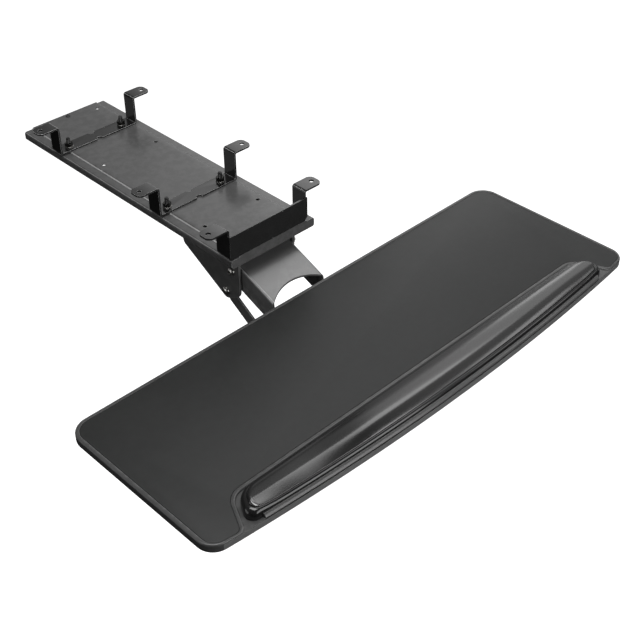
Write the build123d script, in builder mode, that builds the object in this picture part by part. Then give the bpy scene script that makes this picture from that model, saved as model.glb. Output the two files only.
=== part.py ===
from build123d import *
import os
from math import cos, hypot, radians, sin

os.makedirs("parts", exist_ok=True)

# Keyboard tray that hangs under a desk on a sliding track. Millimetres, Z up.
# The user sits on the -Y side. The origin is on the underside of the desk, in the
# middle of the four outer screw holes of the bracket feet.

# Desk screws
mount_pitch_x = 171.2
mount_pitch_y = 351.4
middle_screw_y = -42.7
foot_hole_radius = 3.25

# Track: a folded channel, open at the back and below, closed in front
track_width = 140.0
track_length = 450.0
track_steel = 2.0
track_height = 12.5
track_bend = 3.0
lip_width = 14.0
plateau_width = 110.0
plateau_rise = 2.0
track_offset_x = 7.0
track_drop = 44.5
front_web_setback = 13.5
spare_hole_radius = 2.75
spare_hole_pitch = 90.0
spare_hole_places = (80.0, 293.5, 432.5)

# Brackets: three hats of folded steel that carry the track
bracket_steel = 2.5
bracket_bend = 1.0
bracket_depth = 22.5
bracket_waist = 130.0
bracket_span = 188.0
foot_corner = 8.0
notch_radius = 4.5
stud_pitch = 90.0
stud_radius = 3.0
stud_height = 16.2
nut_flats = 10.0
nut_height = 5.0
washer_radius = 6.0
washer_thickness = 1.2
front_plate_height = 33.0
front_plate_chamfer = 5.0

# Stops of the slide
bumper_radius = 7.0
bumper_height = 8.5
bumper_inset = 7.4
stop_screw_radius = 2.0
stop_screw_head_radius = 3.4
stop_screw_head_height = 1.5
stop_screw_head_bevel = 0.5
front_bumper_width = 40.0
front_bumper_thickness = 3.7
front_bumper_height = 6.0
front_bumper_corner = 1.5

# Carriage that slides in the track
carriage_steel = 3.0
carriage_width = 124.0
carriage_length = 112.0
carriage_drop = 4.5
runner_width = 10.5
runner_inset = 4.0
runner_corner_share = 0.12
swivel_setback = 70.0
swivel_bolt_radius = 5.0
swivel_head_radius = 9.0
swivel_head_height = 2.1
swivel_nut_flats = 17.0
swivel_nut_height = 8.0
swivel_washer_radius = 14.0
swivel_washer_thickness = 1.6
glide_disc_radius = 40.0

# Swivel bracket with its two cheeks
bracket_clearance = 1.5
cheek_steel = 3.0
cheek_span = 96.0
cheek_front = 14.0
cheek_rear = 124.0
cheek_rear_height = 30.5
lobe_radius = 10.5
toe_radius = 14.0
heel_radius = 8.5

# Pivots of the four-bar arm, back from the track's front face and down from its top
upper_pivot_setback = 28.6
upper_pivot_drop = 40.7
lower_pivot_setback = 41.0
lower_pivot_drop = 77.1
arm_length = 112.0
arm_pitch = 22.1
link_length = 112.0
link_pitch = 33.0
pivot_radius = 4.0
pivot_head_radius = 6.0
pivot_head_height = 4.0
acorn_flats = 13.0
acorn_height = 12.0
acorn_dome_radius = 5.6
acorn_hex_height = 6.0
pivot_washer_thickness = 1.6
spacer_radius = 7.0
bush_radius = 6.0
bush_flange_radius = 8.0
bush_flange = 0.8

# Upper arm: a channel, open below
arm_steel = 2.5
arm_bend = 3.5
arm_crown = 14.4
arm_depth = 18.0
arm_belly_start = 18.0
arm_belly_end = 63.0
arm_ear_radius = 10.0
arch_rise = 14.0
arch_gap = 6.4
shoulder_slope = 2.5

# Lower link
link_width = 18.3
link_sag = 3.4
link_bar_start = 12.0

# Head that carries the tray
yoke_steel = 3.0
yoke_ear_radius = 10.0
yoke_web_start = 15.0
yoke_web_end = 45.0
yoke_web_offset = 7.0
tilt_setback = 46.6
tilt_drop = 20.0
tilt_ear_radius = 9.0
tilt_plate_steel = 2.5
tilt_plate_width = 200.0
tilt_plate_length = 90.0
tilt_plate_inset = 12.6
tilt_plate_corner = 12.0
tilt_ear_corner = 6.0
knob_radius = 15.0
knob_length = 16.0
knob_lobe_radius = 3.0
knob_lobes = 6
knob_gap_from_ear = 9.4
clip_radius = 6.5
clip_thickness = 1.2

# Tray
tray_width = 711.0
tray_depth = 259.0
tray_bow = 18.5
tray_thickness = 11.0
tray_top = -54.8
tray_gap = 49.4
tray_back_corner = 25.0
tray_front_corner = 22.0
tray_lower_edge = 1.2
tray_upper_edge = 1.0
rim_width = 5.0
mat_thickness = 1.8
mat_back_corner = 20.0
mat_front_corner = 17.0
mat_tab_corner = 8.0
mat_shoulder_corner = 25.0
mat_tab_width = 42.2
mat_slope_run = 22.3
mat_front_margin = 1.7
tray_screw_radius = 2.0
tray_screw_length = 6.0
tray_screw_head_radius = 4.0
tray_screw_head_height = 2.2
tray_screw_inset = 15.0

# Palm rest
rest_length = 608.0
rest_end_slant = 25.0
rest_back_gap = 195.8
rest_back_margin = 8.5
rest_front_margin = 4.5
rest_base_thickness = 8.0
rest_back_corner = 20.0
rest_front_corner = 10.0
rest_base_edge = 4.5
rest_pad_inset = 4.0
rest_pad_end_inset = 11.0
rest_pad_edge = 2.8
rest_pad_height = 7.0
rest_turn_length = 14.0

# Clearances
face_gap = 0.1
bore_gap = 0.05
open_pivot_gap = 0.5
soft_gap = 0.3
overrun = 5.0

# Worked-out places
front_y = -mount_pitch_y / 2 - front_web_setback
strip_z = -track_drop
lip_z = -track_height
web_underside = strip_z + plateau_rise
bracket_places = {
    "rear_bracket": mount_pitch_y / 2,
    "middle_bracket": middle_screw_y,
    "front_bracket": -mount_pitch_y / 2,
}
carriage_top = -carriage_drop
carriage_underside = carriage_top - carriage_steel
carriage_front = track_steel + front_bumper_thickness + soft_gap
web_top = lip_z - bracket_clearance
web_bottom = web_top - cheek_steel
cheek_outer = cheek_span / 2
cheek_inner = cheek_outer - cheek_steel
arm_outer = cheek_inner - bush_flange - 2 * face_gap
arm_width = 2 * arm_outer
arm_inner = arm_outer - arm_steel
yoke_outer = arm_inner - bush_flange - face_gap
yoke_inner = yoke_outer - yoke_steel
tilt_outer = yoke_inner - 2 * face_gap
tilt_inner = tilt_outer - yoke_steel
tray_back = -tray_gap
tray_underside = tray_top - tray_thickness
tilt_pivot = (tray_back - tilt_setback, tray_underside - tilt_drop)
tray_screw_pitch_x = tilt_plate_width - 2 * tray_screw_inset
tray_screw_pitch_y = tilt_plate_length - 2 * tray_screw_inset

upper_pivot = (upper_pivot_setback, -upper_pivot_drop)
lower_pivot = (lower_pivot_setback, -lower_pivot_drop)


def along(start, pitch, run, rise=0.0):
    """Point at a run down a bar that slopes to the user, and a rise square to it."""
    slope = radians(pitch)
    return (
        start[0] - run * cos(slope) - rise * sin(slope),
        start[1] - run * sin(slope) + rise * cos(slope),
    )


arm_tip = along(upper_pivot, arm_pitch, arm_length)
link_tip = along(lower_pivot, link_pitch, link_length)


def plan(z=0.0):
    """Level plane: x from the track's centre line, y from its front face, z from its side strips."""
    return Plane(origin=(track_offset_x, front_y, strip_z + z), x_dir=(1, 0, 0), z_dir=(0, 0, 1))


def front(y=0.0):
    """Upright plane across the track, its normal towards the user: x and z as on plan."""
    return Plane(origin=(track_offset_x, front_y + y, strip_z), x_dir=(1, 0, 0), z_dir=(0, -1, 0))


def side(x=0.0):
    """Upright plane along the track, its normal towards +X: y and z as on plan."""
    return Plane(origin=(track_offset_x + x, front_y, strip_z), x_dir=(0, 1, 0), z_dir=(1, 0, 0))


def through(pivot):
    """Upright plane through a pivot's axis, which is its x axis."""
    y, z = pivot
    return Plane(origin=(track_offset_x, front_y + y, strip_z + z), x_dir=(1, 0, 0), z_dir=(0, -1, 0))


def pivot_axis(pivot):
    return Axis(origin=through(pivot).origin, direction=(1, 0, 0))


def folded_sheet(points, thickness, bends):
    """Section of a bent sheet whose middle line follows the points."""
    with BuildLine() as middle:
        FilletPolyline(*points, radius=bends)
    trace(middle.line, line_width=thickness)


def mirrored(points):
    """The points, then their mirror images in reverse order."""
    return points + [(-x, y) for x, y in reversed(points)]


def hull_of(*circles):
    """Face around circles given as (centre, radius)."""
    with BuildLine() as rounds:
        for centre, radius in circles:
            CenterArc(centre, radius, 0, 360)
    make_hull(rounds.edges())


# Track
track_half = track_width / 2
plateau_half = plateau_width / 2


def track_points(depth):
    """Corners of the line that runs at a depth inside the track's outer face."""
    return mirrored([
        (lip_width - track_half, lip_z + depth),
        (depth - track_half, lip_z + depth),
        (depth - track_half, -depth),
        (-plateau_half - plateau_rise, -depth),
        (-plateau_half, plateau_rise - depth),
    ])


def track_bends(depth):
    bends = [track_bend - depth, track_bend - depth, plateau_rise, plateau_rise]
    return bends + bends[::-1]


with BuildPart() as desk_track:
    with BuildSketch(front()):
        folded_sheet(track_points(track_steel / 2), track_steel, track_bends(track_steel / 2))
    extrude(amount=-track_length)
    with BuildSketch(front()):
        with BuildLine():
            FilletPolyline(*track_points(0), radius=track_bends(0))
            Line(track_points(0)[-1], track_points(0)[0])
        make_face()
    extrude(amount=-track_steel)
    with BuildSketch(plan(plateau_rise)):
        for place in spare_hole_places:
            with Locations((0, place)):
                with GridLocations(spare_hole_pitch, 0, 2, 1):
                    Circle(spare_hole_radius)
        with Locations((0, track_length - bumper_inset)):
            Circle(stop_screw_radius + bore_gap)
    extrude(amount=-track_steel - overrun, mode=Mode.SUBTRACT)
desk_track.part.label = "desk_track"
export_step(desk_track.part, "parts/desk_track.step")


# Brackets
web_face = web_underside + bracket_steel
waist_middle = bracket_waist / 2 - bracket_steel / 2
hat_points = mirrored([
    (-bracket_span / 2, -bracket_steel / 2),
    (-waist_middle, -bracket_steel / 2),
    (-waist_middle, web_underside + bracket_steel / 2),
])
hat_bend = bracket_bend + bracket_steel / 2


def hat_bracket(y, front_plate):
    """One bracket centred on y, with or without the upright plate along its front edge."""
    foot_side = Plane.XZ.offset(bracket_depth / 2 - y)
    with BuildPart() as bracket:
        with BuildSketch(foot_side):
            folded_sheet(hat_points, bracket_steel, hat_bend)
        extrude(amount=-bracket_depth)
        tips = bracket.edges().filter_by(Axis.Z)
        fillet(tips.group_by(Axis.X)[0] + tips.group_by(Axis.X)[-1], foot_corner)
        if front_plate:
            with BuildSketch(foot_side):
                with Locations((-bracket_waist / 2, web_underside)):
                    Rectangle(bracket_waist, front_plate_height, align=(Align.MIN, Align.MIN))
                lower_right = vertices().group_by(Axis.Y)[0].sort_by(Axis.X)[-1]
                chamfer(lower_right, front_plate_chamfer)
            extrude(amount=bracket_steel)
        with BuildSketch(Plane.XY.offset(web_face)):
            with Locations((0, y)):
                if not front_plate:
                    with GridLocations(0, bracket_depth, 1, 2):
                        Circle(notch_radius)
                with GridLocations(stud_pitch, 0, 2, 1):
                    Circle(stud_radius + soft_gap)
        extrude(amount=-bracket_steel, mode=Mode.SUBTRACT)
        with BuildSketch(Plane.XY):
            with Locations((0, y)):
                with GridLocations(mount_pitch_x, 0, 2, 1):
                    Circle(foot_hole_radius)
        extrude(amount=-bracket_steel, mode=Mode.SUBTRACT)
    return bracket.part


for name, y in bracket_places.items():
    bracket = hat_bracket(y, front_plate=name == "front_bracket")
    bracket.label = name
    export_step(bracket, f"parts/{name}.step")

stud_places = [(side_x, y) for y in bracket_places.values() for side_x in (-stud_pitch / 2, stud_pitch / 2)]

with BuildPart() as bracket_studs:
    with BuildSketch(Plane.XY.offset(web_underside)):
        with Locations(*stud_places):
            Circle(stud_radius)
    extrude(amount=stud_height)
bracket_studs.part.label = "bracket_studs"
export_step(bracket_studs.part, "parts/bracket_studs.step")

with BuildPart() as bracket_washers:
    with BuildSketch(Plane.XY.offset(web_face)):
        with Locations(*stud_places):
            Circle(washer_radius)
            Circle(stud_radius + bore_gap, mode=Mode.SUBTRACT)
    extrude(amount=washer_thickness)
bracket_washers.part.label = "bracket_washers"
export_step(bracket_washers.part, "parts/bracket_washers.step")

with BuildPart() as bracket_nuts:
    with BuildSketch(Plane.XY.offset(web_face + washer_thickness)):
        with Locations(*stud_places):
            RegularPolygon(nut_flats / 2, 6, major_radius=False)
            Circle(stud_radius + bore_gap, mode=Mode.SUBTRACT)
    extrude(amount=nut_height)
bracket_nuts.part.label = "bracket_nuts"
export_step(bracket_nuts.part, "parts/bracket_nuts.step")


# Stops of the slide
bumper_y = track_length - bumper_inset
with BuildPart() as rear_bumper:
    with BuildSketch(plan(plateau_rise - track_steel)):
        with Locations((0, bumper_y)):
            Circle(bumper_radius)
            Circle(stop_screw_radius + bore_gap, mode=Mode.SUBTRACT)
    extrude(amount=-bumper_height)
rear_bumper.part.label = "rear_bumper"
export_step(rear_bumper.part, "parts/rear_bumper.step")

with BuildPart() as rear_bumper_screw:
    with BuildSketch(plan(plateau_rise)):
        with Locations((0, bumper_y)):
            Circle(stop_screw_head_radius)
    extrude(amount=stop_screw_head_height)
    chamfer(rear_bumper_screw.edges().group_by(Axis.Z)[-1], stop_screw_head_bevel)
    with BuildSketch(plan(plateau_rise)):
        with Locations((0, bumper_y)):
            Circle(stop_screw_radius)
    extrude(amount=-track_steel - bumper_height)
rear_bumper_screw.part.label = "rear_bumper_screw"
export_step(rear_bumper_screw.part, "parts/rear_bumper_screw.step")

with BuildPart() as front_bumper:
    with BuildSketch(front(track_steel)):
        with Locations((0, carriage_top - carriage_steel / 2)):
            Rectangle(front_bumper_width, front_bumper_height)
    extrude(amount=-front_bumper_thickness)
    fillet(front_bumper.edges().filter_by(Axis.Y), front_bumper_corner)
front_bumper.part.label = "front_bumper"
export_step(front_bumper.part, "parts/front_bumper.step")


# Carriage
carriage_rear = carriage_front + carriage_length
with BuildPart() as carriage_plate:
    with BuildSketch(plan(carriage_top)):
        with Locations((0, (carriage_front + carriage_rear) / 2)):
            Rectangle(carriage_width, carriage_length)
        with Locations((0, swivel_setback)):
            Circle(swivel_bolt_radius + bore_gap, mode=Mode.SUBTRACT)
    extrude(amount=-carriage_steel)
    fillet(carriage_plate.edges().filter_by(Axis.Z).group_by(Axis.X)[0], track_bend)
    fillet(carriage_plate.edges().filter_by(Axis.Z).group_by(Axis.X)[-1], track_bend)
carriage_plate.part.label = "carriage_plate"
export_step(carriage_plate.part, "parts/carriage_plate.step")

runner_outer = track_half - track_steel - face_gap
runner_top = -track_steel - face_gap
runner_height = runner_top - (lip_z + track_steel + face_gap)
for name, hand in (("left_runner", -1), ("right_runner", 1)):
    with BuildPart() as runner:
        with BuildSketch(front(carriage_front + runner_inset)):
            with Locations((hand * (runner_outer - runner_width / 2), runner_top - runner_height / 2)):
                RectangleRounded(runner_width, runner_height, runner_height * runner_corner_share)
            with Locations((0, (carriage_top + carriage_underside) / 2)):
                Rectangle(carriage_width, carriage_steel, mode=Mode.SUBTRACT)
        extrude(amount=2 * runner_inset - carriage_length)
    runner.part.label = name
    export_step(runner.part, f"parts/{name}.step")

disc_top = carriage_underside
disc_height = disc_top - web_top - face_gap
with BuildPart() as swivel_glide_disc:
    with BuildSketch(plan(disc_top)):
        with Locations((0, swivel_setback)):
            Circle(glide_disc_radius)
            Circle(swivel_bolt_radius + bore_gap, mode=Mode.SUBTRACT)
    extrude(amount=-disc_height)
swivel_glide_disc.part.label = "swivel_glide_disc"
export_step(swivel_glide_disc.part, "parts/swivel_glide_disc.step")

swivel_washer_top = web_bottom - face_gap
swivel_nut_top = swivel_washer_top - swivel_washer_thickness
with BuildPart() as swivel_bolt:
    with BuildSketch(plan(carriage_top)):
        with Locations((0, swivel_setback)):
            Circle(swivel_head_radius)
    extrude(amount=swivel_head_height)
    chamfer(swivel_bolt.edges().group_by(Axis.Z)[-1], swivel_head_height / 2)
    with BuildSketch(plan(carriage_top)):
        with Locations((0, swivel_setback)):
            Circle(swivel_bolt_radius)
    extrude(amount=swivel_nut_top - swivel_nut_height - swivel_washer_thickness - carriage_top)
swivel_bolt.part.label = "swivel_bolt"
export_step(swivel_bolt.part, "parts/swivel_bolt.step")

with BuildPart() as swivel_washer:
    with BuildSketch(plan(swivel_washer_top)):
        with Locations((0, swivel_setback)):
            Circle(swivel_washer_radius)
            Circle(swivel_bolt_radius + bore_gap, mode=Mode.SUBTRACT)
    extrude(amount=-swivel_washer_thickness)
swivel_washer.part.label = "swivel_washer"
export_step(swivel_washer.part, "parts/swivel_washer.step")

with BuildPart() as swivel_nut:
    with BuildSketch(plan(swivel_nut_top)):
        with Locations((0, swivel_setback)):
            RegularPolygon(swivel_nut_flats / 2, 6, major_radius=False)
            Circle(swivel_bolt_radius + bore_gap, mode=Mode.SUBTRACT)
    extrude(amount=-swivel_nut_height)
swivel_nut.part.label = "swivel_nut"
export_step(swivel_nut.part, "parts/swivel_nut.step")


# Swivel bracket: the cheek's outline is a hull around its lobe, toe, heel and top edge
toe_centre = (cheek_front + toe_radius, lower_pivot[1] + toe_radius - cheek_steel)
heel_centre = (cheek_rear - heel_radius, web_top - cheek_rear_height + heel_radius)
with BuildPart() as swivel_bracket:
    with BuildSketch(side(-cheek_outer)):
        with BuildLine():
            CenterArc(lower_pivot, lobe_radius, 0, 360)
            CenterArc(toe_centre, toe_radius, 0, 360)
            CenterArc(heel_centre, heel_radius, 0, 360)
            Line((cheek_front, web_top), (cheek_rear, web_top))
        make_hull()
    extrude(amount=cheek_span)
    with BuildSketch(front(cheek_front - overrun)):
        with Locations((0, web_bottom)):
            Rectangle(2 * cheek_inner, web_bottom - lower_pivot[1] + lobe_radius + overrun,
                      align=(Align.CENTER, Align.MAX))
    extrude(amount=cheek_front - cheek_rear - 2 * overrun, mode=Mode.SUBTRACT)
    bends = swivel_bracket.edges().filter_by(Axis.Y).group_by(Axis.Z)[-1]
    fillet(bends, cheek_steel)
    with BuildSketch(plan(web_top)):
        with Locations((0, swivel_setback)):
            Circle(swivel_bolt_radius + bore_gap)
    extrude(amount=-cheek_steel, mode=Mode.SUBTRACT)
    with BuildSketch(side(-cheek_outer)):
        with Locations(upper_pivot, lower_pivot):
            Circle(pivot_radius + bore_gap)
    extrude(amount=cheek_span, mode=Mode.SUBTRACT)
swivel_bracket.part.label = "swivel_bracket"
export_step(swivel_bracket.part, "parts/swivel_bracket.step")


# Bolts, nuts and spacers of the two rear pivots
def headed_pin(pivot, grip, tail):
    """Pin along X with a domed head outside the left grip and a plain end at the right tail."""
    crest = -grip - pivot_head_height
    with BuildPart() as pin:
        with BuildSketch(through(pivot)):
            with BuildLine():
                TangentArc((crest, 0), (-grip, pivot_head_radius), tangent=(0, 1))
                Polyline((-grip, pivot_head_radius), (-grip, pivot_radius), (tail, pivot_radius),
                         (tail, 0), (crest, 0))
            make_face()
        revolve(axis=pivot_axis(pivot))
    return pin.part


def tube_along_x(pivot, x_start, length, outer, bore):
    """Tube around a pivot's axis."""
    with BuildPart() as tube:
        with BuildSketch(side(x_start)):
            with Locations(pivot):
                Circle(outer)
                Circle(bore, mode=Mode.SUBTRACT)
        extrude(amount=length)
    return tube.part


def acorn_nut(pivot, x_start):
    """Hexagon with a domed cap on its right, hollow for the end of the pin."""
    with BuildPart() as nut:
        with BuildSketch(side(x_start)):
            with Locations(pivot):
                RegularPolygon(acorn_flats / 2, 6, major_radius=False)
        extrude(amount=acorn_hex_height)
        with BuildSketch(through(pivot)):
            with BuildLine():
                EllipticalCenterArc((x_start + acorn_hex_height, 0), acorn_height - acorn_hex_height,
                                    acorn_dome_radius, start_angle=0, arc_size=90)
                Polyline((x_start + acorn_hex_height, acorn_dome_radius), (x_start, acorn_dome_radius),
                         (x_start, 0), (x_start + acorn_height, 0))
            make_face()
        revolve(axis=pivot_axis(pivot))
        with BuildSketch(side(x_start)):
            with Locations(pivot):
                Circle(pivot_radius + bore_gap)
        extrude(amount=acorn_hex_height, mode=Mode.SUBTRACT)
    return nut.part


acorn_start = cheek_outer + pivot_washer_thickness
spacer_half = arm_inner - face_gap
spacer_right = {"upper_pivot": spacer_half, "lower_pivot": cheek_inner - face_gap}
for name, pivot in (("upper_pivot", upper_pivot), ("lower_pivot", lower_pivot)):
    bolt = headed_pin(pivot, cheek_outer, acorn_start + acorn_hex_height)
    bolt.label = f"{name}_bolt"
    export_step(bolt, f"parts/{name}_bolt.step")

    washer = tube_along_x(pivot, cheek_outer, pivot_washer_thickness, spacer_radius, pivot_radius + bore_gap)
    washer.label = f"{name}_washer"
    export_step(washer, f"parts/{name}_washer.step")

    nut = acorn_nut(pivot, acorn_start)
    nut.label = f"{name}_nut"
    export_step(nut, f"parts/{name}_nut.step")

    spacer = tube_along_x(pivot, -spacer_half, spacer_half + spacer_right[name], spacer_radius,
                          pivot_radius + bore_gap)
    spacer.label = f"{name}_spacer"
    export_step(spacer, f"parts/{name}_spacer.step")


# Upper arm: a channel along the slope, trimmed to its side outline and arched in front
arm_slope = radians(arm_pitch)
shoulder_y = tray_back + arch_gap
shoulder_run = (upper_pivot[0] - arm_crown * sin(arm_slope) - shoulder_y) / cos(arm_slope)
shoulder = along(upper_pivot, arm_pitch, shoulder_run, arm_crown)
ear_top = arm_tip[1] + arm_ear_radius
arch_half = arm_inner
arch_radius = (arch_half**2 + arch_rise**2) / (2 * arch_rise)
arm_direction = (0, -cos(arm_slope), -sin(arm_slope))
arm_rear = Plane(
    origin=side().from_local_coords((*along(upper_pivot, arm_pitch, -arm_crown), 0)),
    x_dir=(1, 0, 0),
    z_dir=arm_direction,
)
with BuildPart() as upper_arm:
    with BuildSketch(arm_rear):
        with Locations((0, (arm_crown - arm_depth) / 2)):
            Rectangle(arm_width, arm_crown + arm_depth)
        fillet(vertices().group_by(Axis.Y)[-1], arm_bend)
        with Locations((0, (arm_crown - arm_depth) / 2 - arm_steel)):
            Rectangle(arm_width - 2 * arm_steel, arm_crown + arm_depth, mode=Mode.SUBTRACT)
    extrude(amount=arm_crown + arm_length + arm_ear_radius)
    with BuildSketch(side(-arm_outer)):
        with BuildLine():
            Polyline(
                along(upper_pivot, arm_pitch, 0, arm_crown),
                shoulder,
                (shoulder[0] - shoulder_slope, ear_top),
                (arm_tip[0], ear_top),
                arm_tip,
                along(arm_tip, arm_pitch, 0, -arm_ear_radius),
                along(upper_pivot, arm_pitch, arm_belly_end, -arm_depth),
                along(upper_pivot, arm_pitch, arm_belly_start, -arm_depth),
                along(upper_pivot, arm_pitch, 0, -arm_crown),
                close=True,
            )
        make_face()
        with Locations(upper_pivot):
            Circle(arm_crown)
        with Locations(arm_tip):
            Circle(arm_ear_radius)
    extrude(amount=arm_width, mode=Mode.INTERSECT)
    with BuildSketch(plan()):
        with Locations((0, shoulder_y + arch_rise - arch_radius)):
            Circle(arch_radius)
        with Locations((0, shoulder_y)):
            Rectangle(2 * arch_half, 2 * arch_rise, mode=Mode.INTERSECT)
    extrude(amount=arm_tip[1], mode=Mode.SUBTRACT)
    with BuildSketch(side(-arm_outer)):
        with Locations(upper_pivot, arm_tip):
            Circle(bush_radius)
    extrude(amount=arm_width, mode=Mode.SUBTRACT)
upper_arm.part.label = "upper_arm"
export_step(upper_arm.part, "parts/upper_arm.step")


# Lower link: one flat bar in the plane of the arm's left wall, hung a little below the line of its eyes
link_eye = lobe_radius - bush_flange
bar_ends = [along(lower_pivot, link_pitch, run, -link_sag) for run in (link_bar_start, link_length - link_bar_start)]
with BuildPart() as lower_link:
    with BuildSketch(side(-arm_outer)):
        hull_of(*[(end, link_width / 2) for end in bar_ends])
        with Locations(lower_pivot, link_tip):
            Circle(link_eye)
            Circle(bush_radius, mode=Mode.SUBTRACT)
    extrude(amount=arm_steel)
lower_link.part.label = "lower_link"
export_step(lower_link.part, "parts/lower_link.step")


# Bushes: a barrel in the wall and a flange beside it, outside at the rear pivots, inside at the front ones
def left_bush(pivot, outside, bore):
    """Flanged bush in the plane of the arm's left wall."""
    flange = -arm_outer - bush_flange if outside else -arm_inner
    with BuildPart() as bush:
        with BuildSketch(side(-arm_outer)):
            with Locations(pivot):
                Circle(bush_radius)
                Circle(bore, mode=Mode.SUBTRACT)
        extrude(amount=arm_steel)
        with BuildSketch(side(flange)):
            with Locations(pivot):
                Circle(bush_flange_radius)
                Circle(bore, mode=Mode.SUBTRACT)
        extrude(amount=bush_flange)
    return bush.part


running_bore = pivot_radius + bore_gap
with BuildPart() as arm_bushes:
    add(left_bush(upper_pivot, True, running_bore))
    add(left_bush(arm_tip, False, running_bore))
    mirror(about=side())
arm_bushes.part.label = "arm_bushes"
export_step(arm_bushes.part, "parts/arm_bushes.step")

with BuildPart() as link_bushes:
    add(left_bush(lower_pivot, True, running_bore))
    add(left_bush(link_tip, False, pivot_radius + open_pivot_gap))
link_bushes.part.label = "link_bushes"
export_step(link_bushes.part, "parts/link_bushes.step")


# Head yoke: two ears joined by a web behind the line of its two pins
yoke_pitch_run = link_tip[0] - arm_tip[0]
yoke_pitch_drop = arm_tip[1] - link_tip[1]
yoke_reach = hypot(yoke_pitch_run, yoke_pitch_drop)
down_yoke = (yoke_pitch_run / yoke_reach, -yoke_pitch_drop / yoke_reach)


def on_yoke(run, back):
    """Point a run down the line of the yoke's pins, and set back from it."""
    return (
        arm_tip[0] + run * down_yoke[0] - back * down_yoke[1],
        arm_tip[1] + run * down_yoke[1] + back * down_yoke[0],
    )


with BuildPart() as head_yoke:
    for x_start in (-yoke_outer, yoke_inner):
        with BuildSketch(side(x_start)):
            hull_of((arm_tip, yoke_ear_radius), (link_tip, yoke_ear_radius), (tilt_pivot, yoke_ear_radius))
            with Locations(arm_tip, link_tip, tilt_pivot):
                Circle(pivot_radius + bore_gap, mode=Mode.SUBTRACT)
        extrude(amount=yoke_steel)
    with BuildSketch(side(-yoke_inner)):
        with BuildLine():
            Polyline(
                on_yoke(yoke_web_start, yoke_web_offset),
                on_yoke(yoke_web_end, yoke_web_offset),
                on_yoke(yoke_web_end, yoke_web_offset - yoke_steel),
                on_yoke(yoke_web_start, yoke_web_offset - yoke_steel),
                close=True,
            )
        make_face()
    extrude(amount=2 * yoke_inner)
head_yoke.part.label = "head_yoke"
export_step(head_yoke.part, "parts/head_yoke.step")

with BuildPart() as head_pin_clips:
    for name, pivot, right_end in (("upper_head_pin", arm_tip, arm_outer), ("lower_head_pin", link_tip, yoke_outer)):
        pin = headed_pin(pivot, arm_outer + face_gap, right_end + 2 * clip_thickness + face_gap)
        pin.label = name
        export_step(pin, f"parts/{name}.step")
        with BuildSketch(side(right_end + face_gap)):
            with Locations(pivot):
                Circle(clip_radius)
                Circle(pivot_radius + bore_gap, mode=Mode.SUBTRACT)
        extrude(amount=clip_thickness)
head_pin_clips.part.label = "head_pin_clips"
export_step(head_pin_clips.part, "parts/head_pin_clips.step")


# Tilt bolt, its spacer and the knob that locks the tilt
knob_start = yoke_outer + knob_gap_from_ear
tilt_bolt_part = headed_pin(tilt_pivot, yoke_outer, knob_start + knob_length / 2)
tilt_bolt_part.label = "tilt_bolt"
export_step(tilt_bolt_part, "parts/tilt_bolt.step")

spacer_length = knob_gap_from_ear - face_gap
tilt_spacer = tube_along_x(tilt_pivot, yoke_outer, spacer_length, spacer_radius, pivot_radius + bore_gap)
tilt_spacer.label = "tilt_spacer"
export_step(tilt_spacer, "parts/tilt_spacer.step")

with BuildPart() as tilt_knob:
    with BuildSketch(side(knob_start)):
        with Locations(tilt_pivot):
            Circle(knob_radius)
            with PolarLocations(knob_radius, knob_lobes):
                Circle(knob_lobe_radius, mode=Mode.SUBTRACT)
    extrude(amount=knob_length)
    fillet(tilt_knob.edges().group_by(Axis.X)[-1], knob_lobe_radius / 2)
    with BuildSketch(side(knob_start)):
        with Locations(tilt_pivot):
            Circle(pivot_radius + bore_gap)
    extrude(amount=knob_length / 2 + face_gap, mode=Mode.SUBTRACT)
tilt_knob.part.label = "tilt_knob"
export_step(tilt_knob.part, "parts/tilt_knob.step")


# Tilt plate under the tray, with two ears on the tilt bolt
tilt_plate_underside = tray_underside - tilt_plate_steel
tilt_plate_middle = tray_back - tilt_plate_inset - tilt_plate_length / 2
ear_half_length = tilt_ear_radius + tilt_ear_corner
with BuildPart() as tilt_plate:
    with BuildSketch(plan(tilt_plate_underside)):
        with Locations((0, tilt_plate_middle)):
            RectangleRounded(tilt_plate_width, tilt_plate_length, tilt_plate_corner)
            with GridLocations(tray_screw_pitch_x, tray_screw_pitch_y, 2, 2):
                Circle(tray_screw_radius + bore_gap, mode=Mode.SUBTRACT)
    extrude(amount=tilt_plate_steel)
    for x_start in (-tilt_outer, tilt_inner):
        with BuildSketch(side(x_start)):
            with BuildLine():
                Polyline(
                    (tilt_pivot[0] - ear_half_length, tilt_plate_underside + tilt_plate_steel / 2),
                    (tilt_pivot[0] + ear_half_length, tilt_plate_underside + tilt_plate_steel / 2),
                    (tilt_pivot[0] + tilt_ear_radius, tilt_pivot[1]),
                    (tilt_pivot[0] - tilt_ear_radius, tilt_pivot[1]),
                    close=True,
                )
            make_face()
            with Locations(tilt_pivot):
                Circle(tilt_ear_radius)
                Circle(pivot_radius + bore_gap, mode=Mode.SUBTRACT)
        extrude(amount=yoke_steel)
tilt_plate.part.label = "tilt_plate"
export_step(tilt_plate.part, "parts/tilt_plate.step")

with BuildPart() as tray_screws:
    with BuildSketch(plan(tilt_plate_underside)):
        with Locations((0, tilt_plate_middle)):
            with GridLocations(tray_screw_pitch_x, tray_screw_pitch_y, 2, 2):
                Circle(tray_screw_head_radius)
    extrude(amount=-tray_screw_head_height)
    fillet(tray_screws.edges().group_by(Axis.Z)[0], tray_screw_head_height / 2)
    with BuildSketch(plan(tilt_plate_underside)):
        with Locations((0, tilt_plate_middle)):
            with GridLocations(tray_screw_pitch_x, tray_screw_pitch_y, 2, 2):
                Circle(tray_screw_radius)
    extrude(amount=tilt_plate_steel + tray_screw_length)
tray_screws.part.label = "tray_screws"
export_step(tray_screws.part, "parts/tray_screws.step")


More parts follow.
